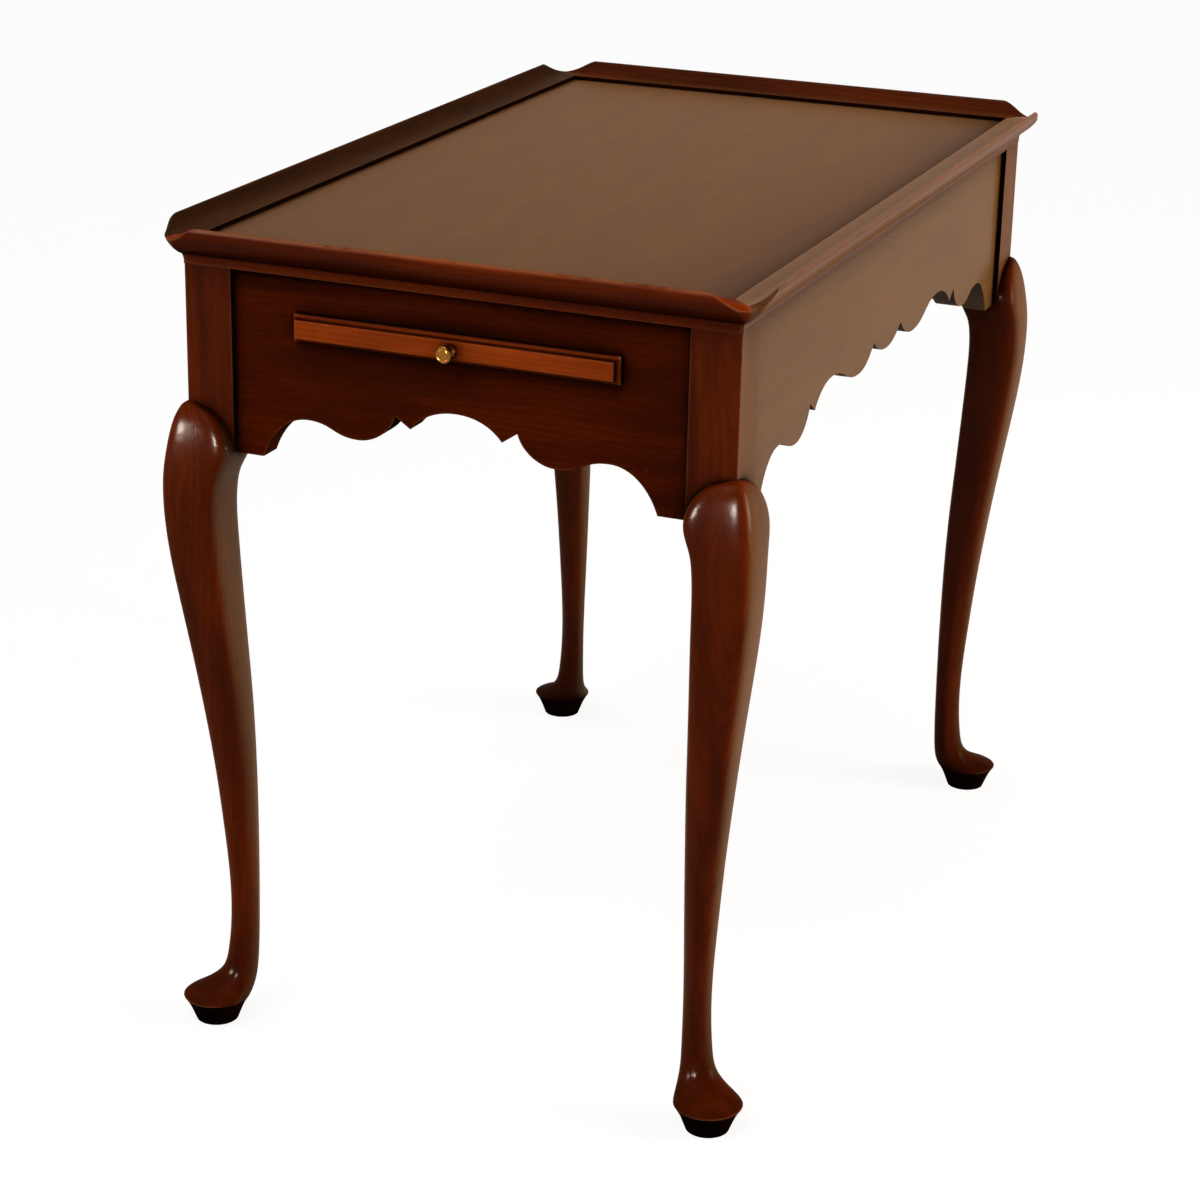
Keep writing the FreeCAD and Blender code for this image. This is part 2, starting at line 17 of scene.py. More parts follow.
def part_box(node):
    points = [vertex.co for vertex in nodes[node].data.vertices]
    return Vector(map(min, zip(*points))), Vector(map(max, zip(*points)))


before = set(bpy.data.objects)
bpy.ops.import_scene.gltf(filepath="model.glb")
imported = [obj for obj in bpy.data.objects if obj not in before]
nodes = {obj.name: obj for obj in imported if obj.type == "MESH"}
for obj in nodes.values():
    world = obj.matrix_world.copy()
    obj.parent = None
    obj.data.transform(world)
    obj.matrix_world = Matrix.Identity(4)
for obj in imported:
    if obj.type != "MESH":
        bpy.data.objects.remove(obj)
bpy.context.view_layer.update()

# %% [markdown]
# ## The camera
#
# The picture is taken from a little above the tray and from one corner. Such a camera can be placed
# by eye, or worked out from points whose real places are known: corners of the frame, the tops of
# the posts and the feet. It was worked out, so the values below are a place, three turns and a
# focal length in pixels of a picture 1200 pixels wide.

# %% Place the camera
MM = 0.001
PICTURE_PIXELS = 1200
FOCAL_PIXELS = 2987.2
SENSOR_MM = 36.0
CAMERA_PLACE_MM = Vector((-2316.8, -910.1, 1216.4))
CAMERA_YAW, CAMERA_PITCH, CAMERA_ROLL = 1.18526, 0.358422, 0.0217364


def camera_axes(yaw, pitch, roll):
    """Right, up and forward of a camera that looks along yaw, down by pitch, turned by roll."""
    level = math.cos(pitch)
    forward = Vector((math.sin(yaw) * level, math.cos(yaw) * level, -math.sin(pitch)))
    right = forward.cross(Vector((0, 0, 1))).normalized()
    up = right.cross(forward)
    turned_right = right * math.cos(roll) + up * math.sin(roll)
    turned_up = up * math.cos(roll) - right * math.sin(roll)
    return turned_right, turned_up, forward


right, up, forward = camera_axes(CAMERA_YAW, CAMERA_PITCH, CAMERA_ROLL)
camera = bpy.data.objects.new("camera", bpy.data.cameras.new("camera"))
camera.data.sensor_width = SENSOR_MM
camera.data.lens = FOCAL_PIXELS / PICTURE_PIXELS * SENSOR_MM
camera.matrix_world = Matrix.Translation(CAMERA_PLACE_MM * MM) @ Matrix(
    (right, up, -forward)).transposed().to_4x4()
bpy.context.scene.collection.objects.link(camera)
bpy.context.scene.camera = camera
print("camera lens", round(camera.data.lens, 1), "mm")

# %% [markdown]
# ## Small tools for the finishes
#
# A finish is a chain of shader nodes. Colours are written as the hex values that a picture program
# shows, and Blender wants them linear, so one function turns them. A second one adds a node, sets
# its properties, and fills its inputs with values or with links, so that each pattern below reads
# from top to bottom. An input that is given a whole node takes that node's first output in use. A
# third one starts an empty material.

# %% Colour and node helpers
def linear(hex_colour, alpha=1.0):
    """An sRGB hex colour as Blender's linear RGBA."""
    channels = [int(hex_colour[i:i + 2], 16) / 255 for i in (1, 3, 5)]
    return [c / 12.92 if c <= 0.04045 else ((c + 0.055) / 1.055) ** 2.4 for c in channels] + [alpha]


def add(tree, kind, inputs=None, **settings):
    """Adds a node to the tree, with its settings, and links or fills its inputs."""
    node = tree.nodes.new(kind)
    for name, value in settings.items():
        setattr(node, name, value)
    for key, value in (inputs or {}).items():
        if isinstance(value, bpy.types.Node):
            value = next(socket for socket in value.outputs if socket.enabled)
        if isinstance(value, bpy.types.NodeSocket):
            tree.links.new(value, node.inputs[key])
        else:
            node.inputs[key].default_value = value
    return node


def new_material(name):
    """A material, and its node tree with nothing in it yet."""
    material = bpy.data.materials.new(name)
    material.use_nodes = True
    material.node_tree.nodes.clear()
    return material, material.node_tree


print("#7c3210 is linear", [round(c, 3) for c in linear("#7c3210")])

# %% [markdown]
# ## Mahogany: where the grain runs
#
# The show wood is mahogany, sawn into boards, stained a dark red brown and lacquered. A flat wood
# picture would slide over the curves of a leg. Real wood is a solid: growth rings are cylinders
# round the heart of the tree, and sawing or carving cuts through them. So the pattern is solid too.
# Each board gets its own heart line, a few centimetres off and a little tilted, and the curved legs
# then show the nested loops of a real carved leg with no drawing at all.

# %% Grain space
GRAIN_TURN = {  # turns that lay the board's own grain axis on the pattern's X
    "X": (0.0, 0.0, 0.0),
    "Y": (0.0, 0.0, -math.pi / 2),
    "Z": (0.0, math.pi / 2, 0.0),
}


def grain_space(tree, axis, heart_mm, tilt):
    """Coordinates in millimetres with X along the grain and the heart of the tree at Y = Z = 0."""
    place = add(tree, "ShaderNodeTexCoord").outputs["Object"]
    laid = add(tree, "ShaderNodeMapping", {
        "Vector": place, "Rotation": GRAIN_TURN[axis], "Scale": (1 / MM, 1 / MM, 1 / MM)})
    return add(tree, "ShaderNodeMapping", {
        "Vector": laid, "Rotation": (0.0, tilt, tilt), "Location": heart_mm})


def stretched(tree, space, along_mm, across_mm):
    """Grain space scaled so that one unit is along_mm with the grain and across_mm across it."""
    return add(tree, "ShaderNodeMapping", {
        "Vector": space, "Scale": (1 / along_mm, 1 / across_mm, 1 / across_mm)})


print("grain can run along", ", ".join(GRAIN_TURN))

# %% [markdown]
# ## Mahogany: rings, pores, flecks and figure
#
# Four patterns make the wood. Growth rings are rings of a wave texture, with a saw profile because
# each year ends in a sharp dark line. Pores are short dark dashes with the grain. Flecks are the
# pale dashes that rays leave across the grain. Figure is the slow change of tone in a board. Pores
# are really about 0.25 mm wide, too fine for the picture, so they are drawn about three times as
# coarse. Each pattern is cut out of smooth noise between two levels, named here as its cut.

# %% Wood patterns
RING_MM = 5.0               # one year's growth
RING_TURNS = math.tau / 20  # the wave texture's own ring spacing at scale 1
WANDER_MM = (260.0, 34.0)   # how slowly rings wander, with and across the grain
WANDER_REACH_MM = 30.0
NOISE_MIDDLE = 0.5
PORE_MM = (15.0, 0.8)
FLECK_MM = (1.6, 4.2)
FLECK_PATCH_MM = 50.0
FIGURE_MM = (170.0, 26.0)
FIGURE_SWIRL = 0.4
EARLY_WOOD = 0.35           # the share of a year that stays pale
PORE_CUT = (0.5, 0.72)
FLECK_CUT = (0.6, 0.75)
PATCH_CUT = (0.45, 0.65)
FIGURE_CUT = (0.25, 0.75)


def growth_rings(tree, space):
    """0 in the pale early wood, rising to 1 at the dark line that ends each year."""
    slow = add(tree, "ShaderNodeTexNoise", {
        "Vector": stretched(tree, space, *WANDER_MM), "Scale": 1.0, "Detail": 2.0})
    wander = add(tree, "ShaderNodeVectorMath", {
        0: slow.outputs["Color"], 1: (NOISE_MIDDLE,) * 3}, operation="SUBTRACT")
    moved = add(tree, "ShaderNodeVectorMath", {
        0: wander, 1: (WANDER_REACH_MM,) * 3, 2: space}, operation="MULTIPLY_ADD")
    rings = add(tree, "ShaderNodeTexWave", {
        "Vector": moved, "Scale": RING_TURNS / RING_MM, "Distortion": 0.0},
        wave_type="RINGS", rings_direction="X", wave_profile="SAW")
    return add(tree, "ShaderNodeMapRange", {
        "Value": rings.outputs["Fac"], "From Min": EARLY_WOOD}, interpolation_type="SMOOTHSTEP")


def pores(tree, space):
    """1 in the short dark dashes that the wood's vessels leave."""
    noise = add(tree, "ShaderNodeTexNoise", {
        "Vector": stretched(tree, space, *PORE_MM), "Scale": 1.0, "Detail": 2.0})
    return add(tree, "ShaderNodeMapRange", {
        "Value": noise, "From Min": PORE_CUT[0], "From Max": PORE_CUT[1]},
        interpolation_type="SMOOTHSTEP")


def flecks(tree, space):
    """1 in the small pale dashes of the rays, which come in patches."""
    noise = add(tree, "ShaderNodeTexNoise", {
        "Vector": stretched(tree, space, *FLECK_MM), "Scale": 1.0, "Detail": 1.0})
    dashes = add(tree, "ShaderNodeMapRange", {
        "Value": noise, "From Min": FLECK_CUT[0], "From Max": FLECK_CUT[1]},
        interpolation_type="SMOOTHSTEP")
    slow = add(tree, "ShaderNodeTexNoise", {
        "Vector": space, "Scale": 1 / FLECK_PATCH_MM, "Detail": 1.0})
    patches = add(tree, "ShaderNodeMapRange", {
        "Value": slow, "From Min": PATCH_CUT[0], "From Max": PATCH_CUT[1]},
        interpolation_type="SMOOTHSTEP")
    return add(tree, "ShaderNodeMath", {0: dashes, 1: patches}, operation="MULTIPLY")


def figure(tree, space):
    """The slow change of tone through a board, from 0 to 1."""
    noise = add(tree, "ShaderNodeTexNoise", {
        "Vector": stretched(tree, space, *FIGURE_MM), "Scale": 1.0, "Detail": 3.0,
        "Distortion": FIGURE_SWIRL})
    return add(tree, "ShaderNodeMapRange", {
        "Value": noise, "From Min": FIGURE_CUT[0], "From Max": FIGURE_CUT[1]},
        interpolation_type="SMOOTHSTEP")


print("rings every", RING_MM, "mm; pores", PORE_MM, "mm; figure", FIGURE_MM, "mm")

# %% [markdown]
# ## Mahogany: glaze, painted shade and wear
#
# Old furniture is dark where hands and polish cannot reach and pale where they rub. The maker helps
# this along with a dark glaze, cleaned off everywhere but in the corners, and the same dark colour
# is also painted shade in corners and seams. Ambient occlusion finds those corners, and the same
# measure taken inside the wood finds the thin outer edges, where noise breaks the wear up. Faces
# that look down are hardly reached by hands and also get painted shade, the wood is drawn darker
# towards the floor, and faces that look to the long sides get a painted sheen in their tone. All of
# this could be painted by hand, but a measure follows any shape.

# %% Glaze, painted shade and wear
SHADE_SAMPLES = 6
GLAZE_AND_SHADE_REACH_MM = 36.0
CORNER_CUT = (0.58, 1.0)    # open sky that a corner and an open face have
EDGE_MM = 1.1
RUB_REACH_MM = 2.4
RUB_MM = 22.0
EDGE_CUT = (0.8, 0.5)       # wood inside a face and inside a thin edge
RUN_CUT = (0.26, 0.52)
FOOT_MM = 130.0
NEAR_FLOOR_SHARE = 0.42
# share kept on faces that look down: less handling, and painted shade
UNDER_SHADE_LEVEL = 0.2
UNDER_CUT = (-1.0, -0.25)   # upward part of the normal, straight down and on a steep face
SIDE_SHEEN_CUT = 0.4               # square of the sideways part of the normal where the painted side sheen begins


def open_sky(tree):
    """1 on open surfaces, falling to 0 in corners and seams."""
    shade = add(tree, "ShaderNodeAmbientOcclusion", {
        "Distance": GLAZE_AND_SHADE_REACH_MM * MM}, samples=SHADE_SAMPLES)
    return shade.outputs["AO"]


def unshaded_corners(tree, sky):
    """0 in corners and seams, which get glaze and painted shade, and 1 on open surfaces."""
    return add(tree, "ShaderNodeMapRange", {
        "Value": sky, "From Min": CORNER_CUT[0], "From Max": CORNER_CUT[1]},
        interpolation_type="SMOOTHSTEP")


def unshaded_faces(tree):
    """Low on faces that look down, which few hands reach and which get painted shade, else 1."""
    normal = add(tree, "ShaderNodeNewGeometry").outputs["Normal"]
    upward = add(tree, "ShaderNodeSeparateXYZ", {"Vector": normal}).outputs["Z"]
    return add(tree, "ShaderNodeMapRange", {
        "Value": upward, "From Min": UNDER_CUT[0], "From Max": UNDER_CUT[1], "To Min": UNDER_SHADE_LEVEL},
        interpolation_type="SMOOTHSTEP")


def darker_towards_floor(tree):
    """Low at the floor, rising to 1 above FOOT_MM: the wood is drawn darker towards the bottom."""
    place = add(tree, "ShaderNodeTexCoord").outputs["Object"]
    height = add(tree, "ShaderNodeSeparateXYZ", {"Vector": place}).outputs["Z"]
    return add(tree, "ShaderNodeMapRange", {
        "Value": height, "From Max": FOOT_MM * MM, "To Min": NEAR_FLOOR_SHARE},
        interpolation_type="SMOOTHSTEP")


def rubbed_edges(tree, space, amount):
    """Up to amount on outer edges that have lost their stain, in broken runs."""
    depth = add(tree, "ShaderNodeAmbientOcclusion", {
        "Distance": RUB_REACH_MM * MM}, samples=SHADE_SAMPLES, inside=True)
    edge = add(tree, "ShaderNodeMapRange", {
        "Value": depth.outputs["AO"], "From Min": EDGE_CUT[0], "From Max": EDGE_CUT[1],
        "To Max": amount},
        interpolation_type="SMOOTHSTEP")
    noise = add(tree, "ShaderNodeTexNoise", {"Vector": space, "Scale": 1 / RUB_MM, "Detail": 4.0})
    runs = add(tree, "ShaderNodeMapRange", {
        "Value": noise, "From Min": RUN_CUT[0], "From Max": RUN_CUT[1]},
        interpolation_type="SMOOTHSTEP")
    return add(tree, "ShaderNodeMath", {0: edge, 1: runs}, operation="MULTIPLY")


def painted_side_sheen(tree, amount):
    """Up to amount on faces that look to the long sides, where sheen is painted into the tone."""
    normal = add(tree, "ShaderNodeNewGeometry").outputs["Normal"]
    aside = add(tree, "ShaderNodeSeparateXYZ", {"Vector": normal}).outputs["Y"]
    square = add(tree, "ShaderNodeMath", {0: aside, 1: aside}, operation="MULTIPLY")
    return add(tree, "ShaderNodeMapRange", {
        "Value": square, "From Min": SIDE_SHEEN_CUT, "To Max": amount}, interpolation_type="SMOOTHSTEP")


# The reach serves the glaze and the painted shade in corners together.
print("glaze reaches", GLAZE_AND_SHADE_REACH_MM, "mm into the corners; edges are eased by", EDGE_MM, "mm")

# %% [markdown]
# ## Mahogany: the lacquered board
#
# The finish puts the patterns together: stain, then glaze with painted shade, then satin lacquer.
# The stained wood itself is matt, with no shine of its own. Over it lies the lacquer, a clear film
# of
# IOR about 1.5 and roughness about 0.2, which has worn thin, so its weight is low. It has also
# yellowed and gone a little hazy, and sheen gives that warm bloom where a board is seen along its
# face. Faces that look to the long sides also get a painted sheen in their tone. The pores dent
# the film.

# %% The lacquered mahogany
LACQUER_IOR = 1.5
WOOD_ROUGHNESS = (0.42, 0.55)
LACQUER_GLOSS = 0.2
LACQUER_BLOOM = "#d8aa7c"
BLOOM_ROUGHNESS = 0.4
GLAZE_AND_SHADE = "#0c0402"
BARE_EDGE = "#a86c42"
# Tones, film and bloom of faces that look to the long sides: painted sheen.
SIDE_SHEEN_TONES = ("#5e3e12", "#4e340c")
SIDE_SHEEN_FILM, SIDE_SHEEN_BLOOM = 0.3, 1.0
IN_REACH = 0.85          # open sky above which hands rub an edge
EASE_SAMPLES = 4
PORE_DEPTH_MM = 0.08
PORE_DENT = 0.25
POLISH_MM = 90.0         # size of the patches that polishing leaves
POLISH_CUT = (0.3, 0.7)
RING_SHARE, FLECK_SHARE, PORE_SHARE = 0.4, 0.06, 0.25


def stained_colour(tree, space, pore, pale, dark):
    """The stained wood's colour: figure first, then rings, flecks and pores."""
    colour = add(tree, "ShaderNodeMix", {
        "Factor": figure(tree, space), "A": dark, "B": pale}, data_type="RGBA")
    for pattern, share, tone in ((growth_rings(tree, space), RING_SHARE, dark),
                                 (flecks(tree, space), FLECK_SHARE, linear(BARE_EDGE)),
                                 (pore, PORE_SHARE, linear(GLAZE_AND_SHADE))):
        amount = add(tree, "ShaderNodeMath", {0: pattern, 1: share}, operation="MULTIPLY")
        colour = add(tree, "ShaderNodeMix", {
            "Factor": amount, "A": colour, "B": tone}, data_type="RGBA")
    return colour


def lacquered_mahogany(name, axis, heart_mm, tilt, pale, dark, wear, film, bloom, side_sheen_amount):
    """Stained and satin-lacquered mahogany with its grain along one axis, with glaze and painted
    shade in corners and on faces that look down, and painted sheen on faces that look to the long
    sides.
    """
    material, tree = new_material(name)
    space = grain_space(tree, axis, heart_mm, tilt)
    pore = pores(tree, space)
    sky = open_sky(tree)
    # Painted sheen: faces that look to the long sides get browner tones and more film and bloom.
    side_sheen = painted_side_sheen(tree, side_sheen_amount)
    tones = [add(tree, "ShaderNodeMix", {
        "Factor": side_sheen, "A": linear(fresh), "B": linear(sheened)}, data_type="RGBA")
        for fresh, sheened in zip((pale, dark), SIDE_SHEEN_TONES)]
    # Glaze and painted shade darken corners, seams and faces that look down, and the wood is drawn
    # darker towards the floor; the same factor takes film and bloom away there.
    unshaded_and_wiped = add(tree, "ShaderNodeMath", {
        0: unshaded_corners(tree, sky), 1: unshaded_faces(tree)}, operation="MULTIPLY")
    unshaded_and_wiped = add(tree, "ShaderNodeMath", {0: unshaded_and_wiped, 1: darker_towards_floor(tree)}, operation="MULTIPLY")
    glazed_and_shaded = add(tree, "ShaderNodeMix", {
        "Factor": unshaded_and_wiped, "A": linear(GLAZE_AND_SHADE), "B": stained_colour(tree, space, pore, *tones)},
        data_type="RGBA")
    clear = add(tree, "ShaderNodeMapRange", {"Value": side_sheen, "To Min": film, "To Max": SIDE_SHEEN_FILM})
    clear = add(tree, "ShaderNodeMath", {0: unshaded_and_wiped, 1: clear}, operation="MULTIPLY")
    hazy = add(tree, "ShaderNodeMapRange", {"Value": side_sheen, "To Min": bloom, "To Max": SIDE_SHEEN_BLOOM})
    hazy = add(tree, "ShaderNodeMath", {0: unshaded_and_wiped, 1: hazy}, operation="MULTIPLY")
    eased = add(tree, "ShaderNodeBevel", {"Radius": EDGE_MM * MM}, samples=EASE_SAMPLES)
    in_reach = add(tree, "ShaderNodeMapRange", {
        "Value": sky, "From Min": IN_REACH}, interpolation_type="SMOOTHSTEP")
    rubbed = add(tree, "ShaderNodeMath", {
        0: rubbed_edges(tree, space, wear), 1: in_reach}, operation="MULTIPLY")
    colour = add(tree, "ShaderNodeMix", {
        "Factor": rubbed, "A": glazed_and_shaded, "B": linear(BARE_EDGE)}, data_type="RGBA")
    polish = add(tree, "ShaderNodeTexNoise", {
        "Vector": space, "Scale": 1 / POLISH_MM, "Detail": 2.0})
    rough = add(tree, "ShaderNodeMapRange", {
        "Value": polish, "From Min": POLISH_CUT[0], "From Max": POLISH_CUT[1],
        "To Min": WOOD_ROUGHNESS[0], "To Max": WOOD_ROUGHNESS[1]}, interpolation_type="SMOOTHSTEP")
    dents = add(tree, "ShaderNodeBump", {
        "Height": pore, "Distance": PORE_DEPTH_MM * MM, "Strength": PORE_DENT, "Normal": eased},
        invert=True)
    surface = add(tree, "ShaderNodeBsdfPrincipled", {
        "Base Color": colour, "Roughness": rough, "Normal": dents, "IOR": LACQUER_IOR,
        "Specular IOR Level": 0.0, "Coat Weight": clear, "Coat IOR": LACQUER_IOR,
        "Coat Roughness": LACQUER_GLOSS, "Coat Normal": dents, "Sheen Weight": hazy,
        "Sheen Tint": linear(LACQUER_BLOOM), "Sheen Roughness": BLOOM_ROUGHNESS})
    add(tree, "ShaderNodeOutputMaterial", {"Surface": surface})
    return material


print("lacquer: IOR", LACQUER_IOR, "roughness", LACQUER_GLOSS)

# %% [markdown]
# ## Which board runs which way
#
# A maker lays the grain along the length of each piece, so posts and legs have it upright, long
# aprons and rims along the table, and end pieces across. Each board here is its own material with
# its own heart line, because no two boards of a real table match. The slide fronts were stained
# less dark, and show more orange. The tray and the long sides have the thickest film and the most
# bloom, and some pieces' tones carry painted light, shade and sheen, as noted in the table below.

# %% Dress the show wood
# Pale and dark tone, rubbing of the edges, weights of film and bloom, and the share of painted
# sheen on faces that look to the long sides.
# The first entry that a piece's name starts with counts.
STAIN = {
    # The two legs at the far end have darker tones than the others: painted shade.
    "leg_front_right": ("#5a2003", "#3d1202", 0.3, 0.045, 0.25, 0.6),
    "leg_back_right": ("#4c1a03", "#330e02", 0.3, 0.045, 0.25, 0.75),
    "leg": ("#6c2603", "#4a1702", 0.3, 0.045, 0.25, 0.75),
    # The long aprons' browner tones paint the sheen seen along their faces.
    "long_apron": ("#5e3e12", "#4e340c", 0.15, 0.3, 1.0, 1.0),
    "end_apron": ("#5c1e02", "#3a1101", 0.3, 0.01, 0.0, 0.0),
    "tray_board": ("#462007", "#361704", 0.2, 0.16, 0.42, 0.0),
    # Among the rims, tray_rim_front's browner tone is painted sheen, tray_rim_back's darker tone is
    # painted shade, and tray_rim_left's lighter tone is painted light.
    "tray_rim_front": ("#5a2e10", "#44200a", 0.2, 0.3, 1.0, 0.0),
    "tray_rim_back": ("#3c2110", "#2a150a", 0.2, 0.06, 0.1, 0.0),
    "tray_rim_left": ("#8c3406", "#602003", 0.5, 0.06, 0.05, 0.0),
    "tray_rim_right": ("#5c2406", "#3c1403", 0.3, 0.06, 0.1, 0.0),
    "slide_front": ("#ac4a10", "#863206", 0.5, 0.05, 0.0, 0.0),
    "slide_board": ("#6a3010", "#481d08", 0.4, 0.06, 0.4, 0.0),
}
GRAIN_AXIS = {
    "leg": "Z", "long_apron": "X", "end_apron": "Y", "tray_board": "X", "tray_rim_front": "X",
    "tray_rim_back": "X", "tray_rim": "Y", "slide_front": "Y", "slide_board": "Y",
}
HEART_REACH_MM = 90.0    # how far off the heart of a board's tree may lie
TILT_REACH = 0.05
BOARD_SEED = 7
boards = random.Random(BOARD_SEED)


def kind_of(node, kinds):
    """The kind in a table that a node's name starts with, or None."""
    return next((kind for kind in kinds if node.startswith(kind)), None)


def dress(node, material):
    """Gives a node one material in place of those it came with."""
    mesh = nodes[node].data
    mesh.materials.clear()
    mesh.materials.append(material)


for node in sorted(nodes):
    kind = kind_of(node, STAIN)
    if kind is None:
        continue
    heart_mm = tuple(boards.uniform(-HEART_REACH_MM, HEART_REACH_MM) for _ in range(3))
    tilt = boards.uniform(-TILT_REACH, TILT_REACH)
    axis = GRAIN_AXIS[kind_of(node, GRAIN_AXIS)]
    dress(node, lacquered_mahogany("mahogany_" + node, axis, heart_mm, tilt, *STAIN[kind]))
print("dressed the mahogany boards")

# %% [markdown]
# ## Poplar inside
#
# The rails that carry the slides, and the blocks in the corners, are secondary wood: planed poplar,
# left bare. It is pale, a little green, quite matt, and its rings show as faint straight lines. The
# same solid patterns serve, with quieter colours and no lacquer. Its corners are darker, with dust
# and painted shade.

# %% Dress the inside wood
POPLAR_IOR = 1.5
POPLAR_ROUGHNESS = (0.55, 0.75)
POPLAR_TONES = ("#b39a6c", "#8a7448")
POPLAR_DUST_AND_SHADE = "#4a3a22"
POPLAR_RING_SHARE, POPLAR_PORE_SHARE = 0.5, 0.3
POPLAR_DENT = 0.4
POPLAR_HEART_MM = 60.0
POPLAR_TILT = 0.03
DUST_AND_SHADE_CUT = (0.1, 0.8)    # open sky that a corner with dust and shade and a clean face have


def planed_poplar(name, axis, heart_mm, tilt):
    """Bare planed poplar with its grain along one axis, and dust and painted shade in corners."""
    material, tree = new_material(name)
    space = grain_space(tree, axis, heart_mm, tilt)
    pale, dark = POPLAR_TONES
    pore = pores(tree, space)
    colour = add(tree, "ShaderNodeMix", {
        "Factor": figure(tree, space), "A": linear(dark), "B": linear(pale)}, data_type="RGBA")
    for pattern, share, tone in ((growth_rings(tree, space), POPLAR_RING_SHARE, dark),
                                 (pore, POPLAR_PORE_SHARE, POPLAR_DUST_AND_SHADE)):
        amount = add(tree, "ShaderNodeMath", {0: pattern, 1: share}, operation="MULTIPLY")
        colour = add(tree, "ShaderNodeMix", {
            "Factor": amount, "A": colour, "B": linear(tone)}, data_type="RGBA")
    # Corners go towards the dust colour by ambient occlusion: dust and painted shade together.
    clean = add(tree, "ShaderNodeMapRange", {
        "Value": open_sky(tree), "From Min": DUST_AND_SHADE_CUT[0], "From Max": DUST_AND_SHADE_CUT[1]},
        interpolation_type="SMOOTHSTEP")
    dusty_and_shaded = add(tree, "ShaderNodeMix", {
        "Factor": clean, "A": linear(POPLAR_DUST_AND_SHADE), "B": colour}, data_type="RGBA")
    rough = add(tree, "ShaderNodeMapRange", {
        "Value": pore, "To Min": POPLAR_ROUGHNESS[0], "To Max": POPLAR_ROUGHNESS[1]})
    dents = add(tree, "ShaderNodeBump", {
        "Height": pore, "Distance": PORE_DEPTH_MM * MM, "Strength": POPLAR_DENT}, invert=True)
    surface = add(tree, "ShaderNodeBsdfPrincipled", {
        "Base Color": dusty_and_shaded, "Roughness": rough, "Normal": dents, "IOR": POPLAR_IOR})
    add(tree, "ShaderNodeOutputMaterial", {"Surface": surface})
    return material


POPLAR_AXIS = {"slide_rail": "X", "corner_block": "Z"}
for node in sorted(nodes):
    kind = kind_of(node, POPLAR_AXIS)
    if kind:
        heart_mm = tuple(boards.uniform(-POPLAR_HEART_MM, POPLAR_HEART_MM) for _ in range(3))
        dress(node, planed_poplar("poplar_" + node, POPLAR_AXIS[kind], heart_mm, POPLAR_TILT))
print("dressed the poplar")

# %% [markdown]
# ## Brass knobs
#
# Each slide has one small turned brass knob. A lathe leaves fine rings round its axis, and years of
# fingers keep the rim bright while the hollows go brown. The rings are a wave round the knob's own
# axis, really about 0.2 mm apart and drawn at 0.6 mm so that they can show.

# %% Dress the knobs
LATHE_MM = 0.6
LATHE_DEPTH_MM = 0.03
LATHE_DENT = 0.3
LATHE_WANDER = 0.6
PATINA_MM = 2.0
PATINA_CUT = (0.3, 0.7)
TARNISH_CUT = (0.3, 0.9)    # open sky that a brown hollow and a bright face have
BRASS_TONES = ("#8e6026", "#6c4519")
BRASS_TARNISH = "#3d2a12"
BRASS_ROUGHNESS = (0.14, 0.2)


def turned_brass(name, node):
    """Aged turned brass, with lathe rings round the axis of the node."""
    low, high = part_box(node)
    middle = (low + high) / 2
    material, tree = new_material(name)
    place = add(tree, "ShaderNodeTexCoord").outputs["Object"]
    space = add(tree, "ShaderNodeMapping", {
        "Vector": place, "Location": -middle / MM, "Scale": (1 / MM, 1 / MM, 1 / MM)})
    lathe = add(tree, "ShaderNodeTexWave", {
        "Vector": space, "Scale": RING_TURNS / LATHE_MM, "Distortion": LATHE_WANDER},
        wave_type="RINGS", rings_direction="X").outputs["Fac"]
    patina = add(tree, "ShaderNodeTexNoise", {
        "Vector": space, "Scale": 1 / PATINA_MM, "Detail": 4.0})
    bright, dull = BRASS_TONES
    rubbed = add(tree, "ShaderNodeMapRange", {
        "Value": patina, "From Min": PATINA_CUT[0], "From Max": PATINA_CUT[1]},
        interpolation_type="SMOOTHSTEP")
    metal = add(tree, "ShaderNodeMix", {
        "Factor": rubbed, "A": linear(dull), "B": linear(bright)}, data_type="RGBA")
    clean = add(tree, "ShaderNodeMapRange", {
        "Value": open_sky(tree), "From Min": TARNISH_CUT[0], "From Max": TARNISH_CUT[1]},
        interpolation_type="SMOOTHSTEP")
    colour = add(tree, "ShaderNodeMix", {
        "Factor": clean, "A": linear(BRASS_TARNISH), "B": metal}, data_type="RGBA")
    rough = add(tree, "ShaderNodeMapRange", {
        "Value": rubbed, "To Min": BRASS_ROUGHNESS[1], "To Max": BRASS_ROUGHNESS[0]})
    grooves = add(tree, "ShaderNodeBump", {
        "Height": lathe, "Distance": LATHE_DEPTH_MM * MM, "Strength": LATHE_DENT})
    surface = add(tree, "ShaderNodeBsdfPrincipled", {
        "Base Color": colour, "Roughness": rough, "Normal": grooves, "Metallic": 1.0})
    add(tree, "ShaderNodeOutputMaterial", {"Surface": surface})
    return material


for node in sorted(nodes):
    if node.startswith("slide_knob"):
        dress(node, turned_brass("brass_" + node, node))
print("dressed the knobs")

# %% [markdown]
# ## Steel screws and studs
#
# Screws hold the corner blocks and the tray board, and a stud holds each knob. They are zinc-plated
# steel: grey, a little mottled where the plating has dulled, and seen only from below.

# %% Dress the screws
STEEL_TONES = ("#a7a8a6", "#6f706e")
STEEL_ROUGHNESS = (0.3, 0.5)
MOTTLE_MM = 3.0
MOTTLE_CUT = (0.3, 0.7)


